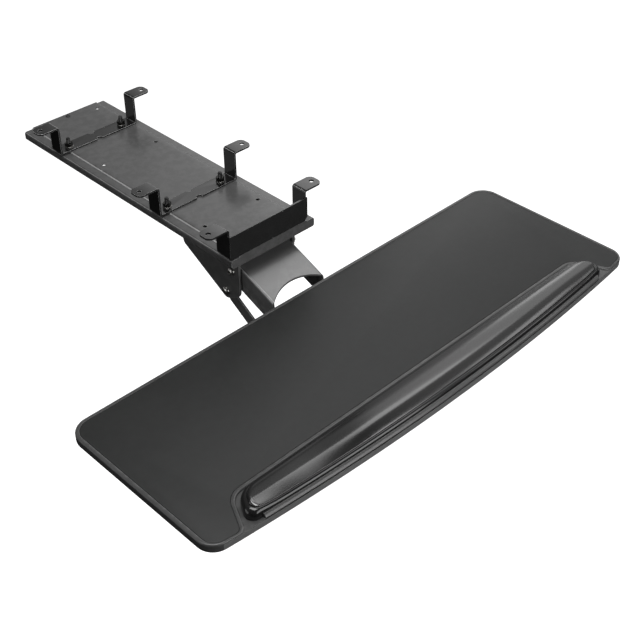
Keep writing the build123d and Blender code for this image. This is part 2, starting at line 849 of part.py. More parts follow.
# Tray board: its front edge bows towards the user
tray_half = tray_width / 2
tray_front = tray_back - tray_depth
tray_front_side = tray_front + tray_bow


def bowed_front(x, margin=0.0):
    """The y of the tray's front edge at x, on a shallow curve."""
    return tray_front + margin + tray_bow * (x / tray_half) ** 2


def mat_outline():
    """Outline of the mat: it fills the tray inside the rim, but for the bay of the palm rest."""
    half = tray_half - rim_width
    back = tray_back - rim_width
    tab_x = half - mat_tab_width + mat_tab_corner
    bay_x = tab_x - mat_slope_run
    front_margin = rim_width - mat_front_margin
    left = [
        (-half, (back + bowed_front(half)) / 2),
        (-half, bowed_front(half, front_margin)),
        (-tab_x, bowed_front(tab_x, front_margin - mat_front_margin / 2)),
        (-bay_x, tray_back - rest_back_gap),
    ]
    right = [(-x, y) for x, y in reversed(left)]
    corners = [mat_front_corner, mat_tab_corner, mat_shoulder_corner]
    with BuildLine() as outline:
        FilletPolyline(*left, *right, (half, back), (-half, back), close=True,
                       radius=[0, *corners, *corners[::-1], 0, mat_back_corner, mat_back_corner])
    make_face(outline.edges())


with BuildPart() as tray_board:
    with BuildSketch(plan(tray_underside)):
        with BuildLine():
            Polyline((-tray_half, tray_front_side), (-tray_half, tray_back),
                     (tray_half, tray_back), (tray_half, tray_front_side))
            ThreePointArc((tray_half, tray_front_side), (0, tray_front), (-tray_half, tray_front_side))
        make_face()
        fillet(vertices().group_by(Axis.Y)[-1], tray_back_corner)
        fillet(vertices().group_by(Axis.Y)[0], tray_front_corner)
    extrude(amount=tray_thickness)
    fillet(tray_board.edges().group_by(Axis.Z)[-1], tray_upper_edge)
    fillet(tray_board.edges().group_by(Axis.Z)[0], tray_lower_edge)
    with BuildSketch(plan(tray_top)):
        mat_outline()
    extrude(amount=-mat_thickness, mode=Mode.SUBTRACT)
    with BuildSketch(plan(tray_underside)):
        with Locations((0, tilt_plate_middle)):
            with GridLocations(tray_screw_pitch_x, tray_screw_pitch_y, 2, 2):
                Circle(tray_screw_radius + bore_gap)
    extrude(amount=tray_screw_length + face_gap, mode=Mode.SUBTRACT)
tray_board.part.label = "tray_board"
export_step(tray_board.part, "parts/tray_board.step")

with BuildPart() as tray_mat:
    with BuildSketch(plan(tray_top)):
        mat_outline()
    extrude(amount=-mat_thickness)
tray_mat.part.label = "tray_mat"
export_step(tray_mat.part, "parts/tray_mat.step")


# Palm rest: a stiff base that follows the tray's front edge, and a padded cushion on it
rest_half = rest_length / 2
rest_back = tray_back - rest_back_gap - rest_back_margin
with BuildPart() as palm_rest_base:
    with BuildSketch(plan(tray_top)):
        with BuildLine():
            front_left = (-rest_half, bowed_front(rest_half, rest_front_margin))
            front_right = (rest_half, bowed_front(rest_half, rest_front_margin))
            Polyline(front_left, (rest_end_slant - rest_half, rest_back),
                     (rest_half - rest_end_slant, rest_back), front_right)
            ThreePointArc(front_right, (0, bowed_front(0, rest_front_margin)), front_left)
        make_face()
        fillet(vertices().group_by(Axis.Y)[-1], rest_back_corner)
        fillet(vertices().group_by(Axis.Y)[0], rest_front_corner)
    extrude(amount=rest_base_thickness)
    fillet(palm_rest_base.edges().group_by(Axis.Z)[-1], rest_base_edge)
palm_rest_base.part.label = "palm_rest_base"
export_step(palm_rest_base.part, "parts/palm_rest_base.step")

pad_half = rest_half - rest_pad_end_inset
pad_turn_start = pad_half - rest_turn_length
pad_low = tray_top + rest_base_thickness + soft_gap
pad_edge_top = pad_low + rest_pad_edge
pad_middle_stations = 5
pad_crest_share = 0.34
# At each end: share of the way to the tip, share of the crown's height, share of the corner's turn
pad_end_shares = (
    (0, 1, 0),
    (0.3, 0.98, 0),
    (0.55, 0.92, 0.04),
    (0.72, 0.84, 0.12),
    (0.85, 0.72, 0.24),
)


def pad_section(x, height_share, corner_share):
    """Section of the cushion at x: flat below, low upright edges, and one crown nearer to the front."""
    foot = bowed_front(x, rest_front_margin + rest_pad_inset) + rest_front_corner * corner_share
    slant_share = max(abs(x) + rest_end_slant - pad_half, 0) / rest_end_slant
    full_back = rest_back - rest_pad_inset
    back = full_back + (foot - full_back) * slant_share
    crest = (foot + (back - foot) * pad_crest_share, pad_edge_top + rest_pad_height * height_share)
    with BuildLine() as section:
        Polyline((foot, pad_edge_top), (foot, pad_low), (back, pad_low), (back, pad_edge_top))
        TangentArc(crest, (back, pad_edge_top), tangent=(1, 0))
        TangentArc(crest, (foot, pad_edge_top), tangent=(-1, 0))
    make_face(section.edges())


with BuildPart() as palm_rest:
    for station in range(pad_middle_stations):
        x = pad_turn_start * (2 * station / (pad_middle_stations - 1) - 1)
        with BuildSketch(side(x)):
            pad_section(x, 1, 0)
    loft()
    for hand in (-1, 1):
        for turn, height_share, corner_share in pad_end_shares:
            x = hand * (pad_turn_start + turn * rest_turn_length)
            with BuildSketch(side(x)):
                pad_section(x, height_share, corner_share)
        loft()
palm_rest.part.label = "palm_rest"
export_step(palm_rest.part, "parts/palm_rest.step")
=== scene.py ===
from math import cos, pi, radians, sin, sqrt

import bmesh
import bpy
from mathutils import Matrix, Vector


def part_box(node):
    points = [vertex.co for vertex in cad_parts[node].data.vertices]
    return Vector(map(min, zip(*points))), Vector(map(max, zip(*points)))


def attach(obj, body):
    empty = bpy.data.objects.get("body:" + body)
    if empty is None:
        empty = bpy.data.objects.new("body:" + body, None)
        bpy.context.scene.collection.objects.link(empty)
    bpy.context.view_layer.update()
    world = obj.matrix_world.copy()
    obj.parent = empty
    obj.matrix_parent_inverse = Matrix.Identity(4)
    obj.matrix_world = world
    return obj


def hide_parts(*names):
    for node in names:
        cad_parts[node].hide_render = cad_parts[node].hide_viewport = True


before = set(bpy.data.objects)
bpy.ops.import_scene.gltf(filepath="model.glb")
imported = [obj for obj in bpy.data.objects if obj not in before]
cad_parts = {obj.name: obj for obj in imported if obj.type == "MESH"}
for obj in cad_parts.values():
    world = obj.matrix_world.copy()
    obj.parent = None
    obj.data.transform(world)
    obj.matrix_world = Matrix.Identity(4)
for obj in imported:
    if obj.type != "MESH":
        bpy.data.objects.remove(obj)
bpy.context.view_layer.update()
scene = bpy.context.scene

# Studio
# A pale floor lies far below the hanging tray, as under a desk, and six soft lamps stand round it.
# The sizes are metres, and the camera stands where the photograph was taken from.
camera_place = (-0.78824, -1.07606, 0.76409)
camera_azimuth = 44.64
camera_drop = 38.24
camera_lens = 64.69
sensor_width = 36.0
floor_depth = -0.74
floor_size = 16.0

camera_data = bpy.data.cameras.new("camera")
camera_data.lens = camera_lens
camera_data.sensor_width = sensor_width
camera_data.clip_end = 50.0
camera = bpy.data.objects.new("camera", camera_data)
camera.location = camera_place
camera.rotation_euler = (radians(90 - camera_drop), 0, radians(-camera_azimuth))
scene.collection.objects.link(camera)
scene.camera = camera
scene.view_settings.view_transform = "Standard"


def softbox(name, centre, aim, width, height, watts):
    """A rectangular lamp at a centre that faces the aim."""
    lamp_data = bpy.data.lights.new(name, "AREA")
    lamp_data.shape = "RECTANGLE"
    lamp_data.size = width
    lamp_data.size_y = height
    lamp_data.energy = watts
    lamp = bpy.data.objects.new(name, lamp_data)
    lamp.location = centre
    lamp.rotation_euler = (Vector(aim) - Vector(centre)).to_track_quat("-Z", "Y").to_euler()
    scene.collection.objects.link(lamp)


softbox("overhead_softbox", (-0.3, -0.3, 1.75), (0.0, -0.3, -0.1), width=1.3, height=1.0, watts=22)
softbox("front_softbox", (0.02, -1.25, 0.05), (0.0, -0.45, -0.1), width=0.9, height=0.5, watts=4.4)
softbox("high_right_softbox", (0.95, -0.05, 1.6), (0.0, -0.4, -0.1), width=0.9, height=0.75, watts=4.2)
softbox("low_right_softbox", (1.75, 0.95, 0.45), (0.0, -0.3, -0.1), width=0.5, height=0.5, watts=1.3)
softbox("front_right_softbox", (1.25, -1.5, 0.45), (0.1, -0.47, -0.1), width=0.5, height=0.4, watts=1.3)
softbox("left_softbox", (-1.5, 0.3, 0.0), (0.0, -0.1, -0.1), width=1.2, height=0.8, watts=3)


def colour_of(tone, tint=(1, 1, 1)):
    """A colour from its tone and its tint."""
    return (*(tone * part for part in tint), 1)


def add_node(tree, kind, **settings):
    """A new shader node with its settings."""
    made = tree.nodes.new("ShaderNode" + kind)
    for label, setting in settings.items():
        setattr(made, label, setting)
    return made


def feed(tree, value, socket):
    """Links another node's output to the socket, or sets the socket to a number or colour."""
    if isinstance(value, bpy.types.NodeSocket):
        tree.links.new(value, socket)
    else:
        socket.default_value = value


def add_range(tree, value, low, high, to_low=0.0, to_high=1.0):
    """Maps a value from low..high to another range, clamped."""
    spread = add_node(tree, "MapRange")
    feed(tree, value, spread.inputs["Value"])
    for label, number in (("From Min", low), ("From Max", high), ("To Min", to_low), ("To Max", to_high)):
        feed(tree, number, spread.inputs[label])
    return spread.outputs["Result"]


def add_math(tree, operation, first, second):
    """Maths on two values, each a socket or a number."""
    made = add_node(tree, "Math", operation=operation)
    feed(tree, first, made.inputs[0])
    feed(tree, second, made.inputs[1])
    return made.outputs["Value"]


def add_mix(tree, share, first, second, blend="MIX"):
    """A share of the second colour over the first."""
    made = add_node(tree, "Mix", data_type="RGBA", blend_type=blend)
    for label, value in (("Factor", share), ("A", first), ("B", second)):
        feed(tree, value, made.inputs[label])
    return made.outputs["Result"]


# The room is dark on the left, and grows bright to the right and towards the horizon
world = bpy.data.worlds.new("room")
world.use_nodes = True
scene.world = world
sky = world.node_tree
sky_parts = add_node(sky, "SeparateXYZ")
feed(sky, add_node(sky, "TexCoord").outputs["Generated"], sky_parts.inputs["Vector"])


def sky_ramp(axis, ends, between):
    """Grey levels along one axis of the direction: one at each end, and (direction, level) stops between."""
    ramp = add_node(sky, "ValToRGB")
    ramp.color_ramp.interpolation = "EASE"
    stops = ramp.color_ramp.elements
    for stop, level in zip(stops, ends):
        stop.color = colour_of(level)
    for direction, level in between:
        stops.new((direction + 1) / 2).color = colour_of(level)
    feed(sky, add_range(sky, sky_parts.outputs[axis], -1.0, 1.0), ramp.inputs["Fac"])
    return ramp.outputs["Color"]


across_levels = sky_ramp("X", (0.1, 0.9),
                         ((0.4, 0.15), (0.47, 0.2), (0.52, 0.55), (0.56, 1.0), (0.62, 1.15)))
along_levels = sky_ramp("Y", (0.2, 1.0), ((-0.4, 0.35), (0.0, 0.4), (0.22, 0.95)))
upward_levels = sky_ramp("Z", (0.1, 0.8), ((0.0, 0.25), (0.28, 0.4), (0.45, 0.95), (0.6, 1.0)))
sky_level = add_mix(sky, 1.0, across_levels, along_levels, "MULTIPLY")
sky_level = add_mix(sky, 1.0, sky_level, upward_levels, "MULTIPLY")
sky_seen = add_node(sky, "LightPath").outputs["Is Camera Ray"]
feed(sky, add_mix(sky, sky_seen, sky_level, colour_of(1)), sky.nodes["Background"].inputs["Color"])

form = bmesh.new()
bmesh.ops.create_grid(form, x_segments=1, y_segments=1, size=floor_size / 2)
bmesh.ops.translate(form, vec=(0, 0, floor_depth), verts=form.verts)
floor_mesh = bpy.data.meshes.new("floor")
form.to_mesh(floor_mesh)
form.free()
floor = bpy.data.objects.new("floor", floor_mesh)
scene.collection.objects.link(floor)

# The floor shows white to the camera and is dark to the tray's finish, apart from its far right corner
far_corner_start = 1.7
far_corner_lit = 2.6
floor_white = 0.8
floor_finish = bpy.data.materials.new("pale_floor")
floor_finish.use_nodes = True
floor_mesh.materials.append(floor_finish)
tree = floor_finish.node_tree
floor_shader = tree.nodes["Principled BSDF"]
floor_shader.inputs["Roughness"].default_value = 0.9
floor_shader.inputs["Specular IOR Level"].default_value = 0.1
floor_shader.inputs["Emission Color"].default_value = colour_of(1)
floor_seen = add_node(tree, "LightPath").outputs["Is Camera Ray"]
feed(tree, add_mix(tree, floor_seen, colour_of(0.012), colour_of(0.9)), floor_shader.inputs["Base Color"])
floor_place = add_node(tree, "SeparateXYZ")
feed(tree, add_node(tree, "TexCoord").outputs["Object"], floor_place.inputs["Vector"])
floor_way = add_math(tree, "ADD", floor_place.outputs["X"], floor_place.outputs["Y"])
floor_lit = add_range(tree, floor_way, far_corner_start, far_corner_lit)
floor_glow = add_math(tree, "MAXIMUM", add_math(tree, "MULTIPLY", floor_seen, floor_white), floor_lit)
feed(tree, floor_glow, floor_shader.inputs["Emission Strength"])

# Track
# The desk track is a channel of 2 mm steel with a raised middle, folded on a brake and powder coated in
# satin black. The coat rounds the edges of every steel piece. A paler paint on these edges and on the
# backs of the folds is a painted highlight, in place of the light that glints along them.
MM = 0.001
merge_distance = 0.002
flat_angle = 0.6


def put_in_scene(name, form):
    """The bmesh as a new smooth piece at the origin."""
    mesh = bpy.data.meshes.new(name)
    for face in form.faces:
        face.smooth = True
    form.to_mesh(mesh)
    form.free()
    piece = bpy.data.objects.new(name, mesh)
    scene.collection.objects.link(piece)
    return piece


def round_edges(piece, width, segments, angle):
    """Rounds the edges that are sharper than an angle over by a width in millimetres."""
    ease = piece.modifiers.new("eased_edges", "BEVEL")
    ease.width = width * MM
    ease.segments = segments
    ease.limit_method = "ANGLE"
    ease.angle_limit = radians(angle)
    ease.harden_normals = True
    ease.use_clamp_overlap = True


def eased(node, name, width, segments=2, angle=28):
    """A copy of a CAD piece with its facets joined into whole faces and its edges rounded over."""
    form = bmesh.new()
    form.from_mesh(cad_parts[node].data)
    bmesh.ops.remove_doubles(form, verts=form.verts, dist=merge_distance * MM)
    bmesh.ops.dissolve_limit(form, angle_limit=radians(flat_angle), verts=form.verts, edges=form.edges)
    piece = put_in_scene(name, form)
    for layer in ("custom_normal", "sharp_edge", "sharp_face"):
        if layer in piece.data.attributes:
            piece.data.attributes.remove(piece.data.attributes[layer])
    round_edges(piece, width, segments, angle)
    return piece


def on_a_fold(normal):
    """Whether a face lies on the back of a lengthwise fold, between upright and level."""
    across, along, up = (abs(part) for part in normal)
    return 0.62 < across < 0.8 and along < 0.46 and up > 0.4


def dress(piece, material, slot, body, *nodes, edge=None):
    """Gives the piece its finish, the body it moves with and the CAD nodes that it stands for.
    An edge finish, a painted highlight, goes on the rounded edges and on the backs of the folds."""
    piece.data.materials.clear()
    piece.data.materials.append(material)
    if edge:
        piece.data.materials.append(edge)
        piece.modifiers["eased_edges"].material = 1
        # Faces on the backs of the folds get the painted edge highlight too
        for face in piece.data.polygons:
            if on_a_fold(face.normal):
                face.material_index = 1
    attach(piece, body)
    if nodes:
        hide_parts(*nodes)


def refine(node, name, width, material, slot, body, segments=2, angle=28, edge=None):
    """Puts an eased and finished copy of a CAD piece in its place. The edges' width is millimetres."""
    dress(eased(node, name, width, segments, angle), material, slot, body, node, edge=edge)


def add_noise(tree, vector, scale, detail, roughness=0.5):
    """Noise from 0 to 1 over a vector."""
    noise = add_node(tree, "TexNoise")
    for label, value in (("Vector", vector), ("Scale", scale), ("Detail", detail), ("Roughness", roughness)):
        feed(tree, value, noise.inputs[label])
    return noise.outputs["Fac"]


# Fine stipple of a sprayed or moulded surface, broad patches where it was handled, and scuffed edges that
# are partly wear and partly a painted highlight
patches_per_metre = 14.0
scuffs_per_metre = 90.0
stipple = bpy.data.node_groups.new("stipple", "ShaderNodeTree")
stipple.interface.new_socket("Scale", in_out="INPUT", socket_type="NodeSocketFloat")
for label in ("Height", "Patches", "WearAndSheen"):
    stipple.interface.new_socket(label, in_out="OUTPUT", socket_type="NodeSocketFloat")
stipple_scale = stipple.nodes.new("NodeGroupInput").outputs["Scale"]
stipple_sockets = stipple.nodes.new("NodeGroupOutput").inputs
where = add_node(stipple, "TexCoord").outputs["Object"]
scaled = add_node(stipple, "VectorMath", operation="SCALE")
feed(stipple, where, scaled.inputs[0])
feed(stipple, stipple_scale, scaled.inputs["Scale"])
fine = add_noise(stipple, scaled.outputs["Vector"], 1.0, 2.0)
finer = add_math(stipple, "MULTIPLY", add_noise(stipple, scaled.outputs["Vector"], 2.7, 1.0), 0.4)
feed(stipple, add_math(stipple, "ADD", fine, finer), stipple_sockets["Height"])
patches = add_range(stipple, add_noise(stipple, where, patches_per_metre, 5.0, 0.6), 0.3, 0.7)
feed(stipple, patches, stipple_sockets["Patches"])
scuffs = add_range(stipple, add_noise(stipple, where, scuffs_per_metre, 4.0, 0.65), 0.42, 0.6)
# Pointiness picks out the sharp edges; their other tone is partly wear and partly a painted highlight
edges = add_range(stipple, add_node(stipple, "NewGeometry").outputs["Pointiness"], 0.51, 0.6)
feed(stipple, add_math(stipple, "MULTIPLY", edges, scuffs), stipple_sockets["WearAndSheen"])


def coated(name, tone, roughness, grain, bump, ior=1.5, spread=0.06, edge_wear_and_sheen_tone=None, tint=(1, 1, 1)):
    """A coated, moulded or plated finish. Its tone varies over the surface, its edges wear to another tone,
    which on the dark finishes is paler and is also a painted highlight, and its stipple, with a grain in
    millimetres, stands out a little."""
    made = bpy.data.materials.new(name)
    made.use_nodes = True
    tree = made.node_tree
    shader = tree.nodes["Principled BSDF"]
    grain_size = grain * MM
    texture = add_node(tree, "Group", node_tree=stipple)
    texture.inputs["Scale"].default_value = 1.0 / grain_size
    patches = texture.outputs["Patches"]
    patchy = add_mix(tree, patches, colour_of(0.95 * tone, tint), colour_of(1.06 * tone, tint))
    worn_and_sheen = colour_of(1.6 * tone if edge_wear_and_sheen_tone is None else edge_wear_and_sheen_tone, tint)
    feed(tree, add_mix(tree, texture.outputs["WearAndSheen"], patchy, worn_and_sheen), shader.inputs["Base Color"])
    rough = add_range(tree, patches, 0.0, 1.0, roughness - spread / 2, roughness + spread / 2)
    feed(tree, rough, shader.inputs["Roughness"])
    relief = add_node(tree, "Bump")
    relief.inputs["Strength"].default_value = bump
    relief.inputs["Distance"].default_value = 0.25 * grain_size
    feed(tree, texture.outputs["Height"], relief.inputs["Height"])
    feed(tree, relief.outputs["Normal"], shader.inputs["Normal"])
    shader.inputs["IOR"].default_value = ior
    return made


track_black = coated("track_powder_coat", tone=0.1, roughness=0.24, grain=0.9, bump=0.04, ior=1.8)
# Painted highlight: a paler coat on the rounded edges and the backs of the folds stands in for the light
# that glints along them
edge_highlight_paint = coated("painted_edge_highlight", tone=0.42, roughness=0.3, grain=0.9, bump=0.05, ior=1.9)
refine("desk_track", "track_channel", 0.75, track_black, "powder_coat", "track", edge=edge_highlight_paint)

# Brackets
# Three hats of folded strip hang the track from the desk. The front one carries an upright plate that
# closes the gap above the track. Their coat is a far darker black than the track's: painted shade, to keep
# their sides black.
bracket_black = coated("bracket_powder_coat", tone=0.006, roughness=0.2, grain=0.8, bump=0.05, ior=2.4)
for node in ("rear_bracket", "middle_bracket", "front_bracket"):
    refine(node, node + "_hat", 0.45, bracket_black, "powder_coat", "track", edge=edge_highlight_paint)

# Studs, washers and nuts
# Six M6 studs of blackened steel are pressed up through the track. Each bracket is held down on two of
# them by zinc-plated washers and hexagon nuts in black zinc plate.
stud_rows = (175.7, -42.7, -175.7)
stud_columns = (-45.0, 45.0)
stud_places = [Vector((x, y, 0)) * MM for y in stud_rows for x in stud_columns]
thread_radius = 2.95
thread_root = 2.4
thread_pitch = 1.0
shank_height = 5.5


def vertices_in(geometry):
    """The vertices among the elements that an operator gives back."""
    return [element for element in geometry if isinstance(element, bmesh.types.BMVert)]


def turned(outline, steps):
    """A turned piece: the outline of (radius, height) in millimetres, spun about the Z axis."""
    form = bmesh.new()
    rim = [form.verts.new((radius * MM, 0, height * MM)) for radius, height in outline]
    chain = [form.edges.new(pair) for pair in zip(rim, rim[1:])]
    bmesh.ops.spin(form, geom=rim + chain, axis=(0, 0, 1), cent=(0, 0, 0), angle=2 * pi, steps=steps,
                   use_merge=True)
    bmesh.ops.remove_doubles(form, verts=form.verts, dist=0.001 * MM)
    bmesh.ops.recalc_face_normals(form, faces=form.faces)
    return form


def repeated(form, height, places):
    """The form copied to each place at a height in metres, and the first one removed."""
    first = form.verts[:] + form.edges[:] + form.faces[:]
    for spot in places:
        twin = bmesh.ops.duplicate(form, geom=first)
        bmesh.ops.translate(form, vec=spot + Vector((0, 0, height)), verts=vertices_in(twin["geom"]))
    bmesh.ops.delete(form, geom=vertices_in(first), context="VERTS")
    return form


def sharp_by_angle(piece, angle):
    """Keeps only the edges past an angle sharp."""
    piece.data.set_sharp_from_angle(angle=radians(angle))
    return piece


stud_foot, stud_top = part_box("bracket_studs")
stud_height = (stud_top.z - stud_foot.z) / MM
stud_outline = [(0, 0), (thread_radius, 0), (thread_radius, shank_height)]
for turn in range(int(stud_height - shank_height - thread_pitch)):
    groove = shank_height + 0.4 + turn * thread_pitch
    stud_outline += [(thread_root, groove), (thread_radius, groove + thread_pitch / 2)]
stud_outline += [(2.3, stud_height - 0.4), (2.0, stud_height), (0, stud_height)]
studs = put_in_scene("threaded_studs", repeated(turned(stud_outline, 24), stud_foot.z, stud_places))
oxide_black = coated("black_oxide", tone=0.02, roughness=0.34, grain=0.5, bump=0.15, edge_wear_and_sheen_tone=0.12)
dress(sharp_by_angle(studs, 50), oxide_black, "black_steel", "track", "bracket_studs")


zinc_tint = (1.0, 0.985, 0.95)


def plated(name, tone, roughness):
    """Zinc plate over machined steel."""
    made = coated(name, tone, roughness, grain=0.35, bump=0.08, spread=0.14, edge_wear_and_sheen_tone=0.8 * tone,
                  tint=zinc_tint)
    made.node_tree.nodes["Principled BSDF"].inputs["Metallic"].default_value = 1.0
    return made


zinc = plated("zinc_plate", tone=0.62, roughness=0.26)
refine("bracket_washers", "flat_washers", 0.2, zinc, "zinc", "track")


def hexagon_nut(flats, height, chamfer):
    """A hexagon nut on the origin, its upper corners turned off, from sizes in millimetres."""
    form = bmesh.new()
    bmesh.ops.create_circle(form, cap_ends=True, segments=6, radius=flats / sqrt(3) * MM)
    block = bmesh.ops.extrude_face_region(form, geom=form.faces[:])
    upper = vertices_in(block["geom"])
    bmesh.ops.translate(form, vec=(0, 0, height * MM), verts=upper)
    top = [face for face in form.faces if face.calc_center_median().z > 0.99 * height * MM]
    bmesh.ops.inset_region(form, faces=top, thickness=chamfer * MM, depth=0)
    bmesh.ops.translate(form, vec=(0, 0, -0.55 * chamfer * MM), verts=upper)
    bmesh.ops.recalc_face_normals(form, faces=form.faces)
    return form


nut_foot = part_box("bracket_nuts")[0].z
nut_form = repeated(hexagon_nut(flats=9.9, height=4.9, chamfer=0.9), nut_foot, stud_places)
nuts = put_in_scene("hexagon_nuts", nut_form)
round_edges(nuts, 0.15, 2, 30)
nut_black = plated("black_zinc_plate", tone=0.1, roughness=0.2)
dress(nuts, nut_black, "zinc", "track", "bracket_nuts")

# Stops of the slide
# A rubber buffer hangs under a screw at the back of the track, and a rubber strip is glued inside its
# front fold. The carriage runs against them.
buffer_rubber = coated("buffer_rubber", tone=0.02, roughness=0.62, grain=1.0, bump=0.35)
refine("rear_bumper", "rear_buffer", 0.6, buffer_rubber, "rubber", "track", segments=3)
refine("front_bumper", "front_buffer", 0.6, buffer_rubber, "rubber", "track", segments=3)
refine("rear_bumper_screw", "rear_buffer_screw", 0.2, oxide_black, "black_steel", "track")

# Carriage
# A steel plate between two nylon runners slides in the track. A bolt through it holds the swivel up
# against a nylon disc, with a washer and a lock nut in zinc plate.
carriage_coat = coated("carriage_steel", tone=0.03, roughness=0.4, grain=0.9, bump=0.2)
nylon = coated("black_nylon", tone=0.028, roughness=0.48, grain=1.2, bump=0.25)
refine("carriage_plate", "carriage_bed", 0.4, carriage_coat, "powder_coat", "carriage")
for node in ("left_runner", "right_runner"):
    refine(node, node + "_strip", 0.3, nylon, "nylon", "carriage")
refine("swivel_glide_disc", "glide_disc", 0.3, nylon, "nylon", "carriage")
refine("swivel_bolt", "swivel_stem", 0.3, zinc, "zinc", "carriage")
refine("swivel_washer", "swivel_disc_washer", 0.3, zinc, "zinc", "carriage")
refine("swivel_nut", "swivel_lock_nut", 0.3, zinc, "zinc", "carriage")

# Swivel bracket
# A steel plate turns under the track. Two cheeks folded down from it hold both pivots of the arm, and
# their coat is rougher than the track's.
cheek_black = coated("cheek_powder_coat", tone=0.11, roughness=0.36, grain=0.9, bump=0.14)
refine("swivel_bracket", "swivel_cheeks", 0.5, cheek_black, "powder_coat", "swivel", edge=edge_highlight_paint)

# Pivots
# Plated button-head bolts with hexagon sockets pass through both cheeks. On the right each has a washer
# and a domed cap nut, and between the cheeks a tube keeps them apart.
head_radius = 6.0
head_height = 3.9
head_skirt = 0.4
socket_radius = 2.5
stem_radius = 3.98
stem_start = 4.9
stem_end_gap = 0.1
bright_zinc = plated("bright_zinc_plate", tone=0.6, roughness=0.3)


def grow_open_edge(form):
    """Extrudes the open edge in place, and gives its new vertices."""
    grown = bmesh.ops.extrude_edge_only(form, edges=[edge for edge in form.edges if edge.is_boundary])
    return vertices_in(grown["geom"])


def button_head(seat):
    """A domed head with a hexagon socket, facing -X from its seat."""
    dome = [(head_radius * cos(turn), head_height * sin(turn)) for turn in (0.0, 0.25, 0.5, 0.75, 1.0, 1.15)]
    outline = [(0, -head_skirt), (head_radius, -head_skirt)] + dome
    form = turned(outline + [(socket_radius + 0.15, head_height * 0.97)], 36)
    for vert in grow_open_edge(form):
        around = Vector((vert.co.x, vert.co.y)).normalized()
        off_flat = Vector((1, 0)).angle_signed(around) % (pi / 3) - pi / 6
        reach = socket_radius * cos(pi / 6) / cos(off_flat) * MM
        vert.co = (around.x * reach, around.y * reach, vert.co.z - 0.1 * MM)
    bmesh.ops.translate(form, vec=(0, 0, -0.6 * head_height * MM), verts=grow_open_edge(form))
    bmesh.ops.edgeloop_fill(form, edges=[edge for edge in form.edges if edge.is_boundary])
    bmesh.ops.recalc_face_normals(form, faces=form.faces)
    bmesh.ops.rotate(form, cent=(0, 0, 0), matrix=Matrix.Rotation(radians(-90), 3, "Y"), verts=form.verts)
    bmesh.ops.translate(form, vec=seat, verts=form.verts)
    return form


for pivot in ("upper_pivot", "lower_pivot"):
    low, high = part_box(pivot + "_bolt")
    middle = (low + high) / 2
    form = button_head(Vector((low.x + head_height * MM, middle.y, middle.z)))
    stem_middle = middle + Vector(((stem_start - stem_end_gap) / 2 * MM, 0, 0))
    stem_place = Matrix.Translation(stem_middle) @ Matrix.Rotation(radians(90), 4, "Y")
    stem_length = high.x - low.x - (stem_start + stem_end_gap) * MM
    bmesh.ops.create_cone(form, cap_ends=True, segments=32, radius1=stem_radius * MM,
                          radius2=stem_radius * MM, depth=stem_length, matrix=stem_place)
    bolt = sharp_by_angle(put_in_scene(pivot + "_button_bolt", form), 40)
    dress(bolt, bright_zinc, "zinc", "swivel", pivot + "_bolt")
    refine(pivot + "_nut", pivot + "_cap_nut", 0.3, bright_zinc, "zinc", "swivel", angle=35)
    refine(pivot + "_washer", pivot + "_flat_washer", 0.2, zinc, "zinc", "swivel")
    refine(pivot + "_spacer", pivot + "_tube", 0.2, oxide_black, "black_steel", "swivel")

# Upper arm
# A channel of 2.5 mm steel, open below, with an arched cut at its lower end. Its top is rolled smooth
# before coating. Flanged nylon bushes in its walls run on the pivots.
# The arm's coat is a paler black than the track's: a painted sheen for the light its top reflects
arm_black = coated("arm_powder_coat", tone=0.13, roughness=0.22, grain=0.9, bump=0.03, ior=1.8)
refine("upper_arm", "arm_channel", 0.45, arm_black, "powder_coat", "arm", edge=edge_highlight_paint)
refine("arm_bushes", "arm_flange_bushes", 0.15, nylon, "nylon", "arm")

# Lower link
# One flat steel bar below the arm, on its left, with a flanged nylon bush at each end. It keeps the head
# nearly level as the arm rises.
refine("lower_link", "link_bar", 0.4, cheek_black, "powder_coat", "link", edge=edge_highlight_paint)
refine("link_bushes", "link_flange_bushes", 0.15, nylon, "nylon", "link")

# Head and tilt
# A folded steel yoke at the arm's tip holds the tilt bolt. The tray's plate turns on it until the knob
# locks it, and four screws hold the board on the plate.
refine("head_yoke", "head_fork", 0.45, cheek_black, "powder_coat", "head")
for node in ("upper_head_pin", "lower_head_pin"):
    refine(node, node + "_rivet", 0.25, zinc, "zinc", "head")
refine("head_pin_clips", "pin_clips", 0.2, oxide_black, "black_steel", "head")
refine("tilt_bolt", "tilt_stem", 0.25, zinc, "zinc", "head")
refine("tilt_spacer", "tilt_tube", 0.2, oxide_black, "black_steel", "head")
knob_plastic = coated("knob_plastic", tone=0.022, roughness=0.42, grain=1.1, bump=0.3)
refine("tilt_knob", "tilt_hand_knob", 0.5, knob_plastic, "knob_plastic", "knob", segments=3)
refine("tilt_plate", "tray_carrier", 0.45, cheek_black, "powder_coat", "tray")
refine("tray_screws", "carrier_screws", 0.2, oxide_black, "black_steel", "tray")

# Tray board
# A board moulded in plastic, with a raised rim round the mat and a lower ledge along its bowed front edge.
# A slanted lip runs along the ledge in front of the palm rest. The front edge is duller, and its forward
# faces are painted paler, as painted light from the front.
board_low, board_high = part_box("tray_board")
board_middle = (board_low.x + board_high.x) / 2
board_half = (board_high.x - board_low.x) / 2 / MM
board_thickness = (board_high.z - board_low.z) / MM
board_depth = 259.0
board_bow = 18.5
back_corner = 25.0
front_corner = 22.0
ledge_top = -2.0
foot_rounding = 1.2
corner_steps = 10


def place(x, y, z):
    """A point in metres, from millimetres off the board's middle, back edge and top."""
    return Vector((board_middle + x * MM, board_high.y + y * MM, board_high.z + z * MM))


def bowed_front(x, margin=0.0):
    """The y of a line that follows the board's front edge at a margin behind it."""
    return margin - board_depth + board_bow * (x / board_half) ** 2


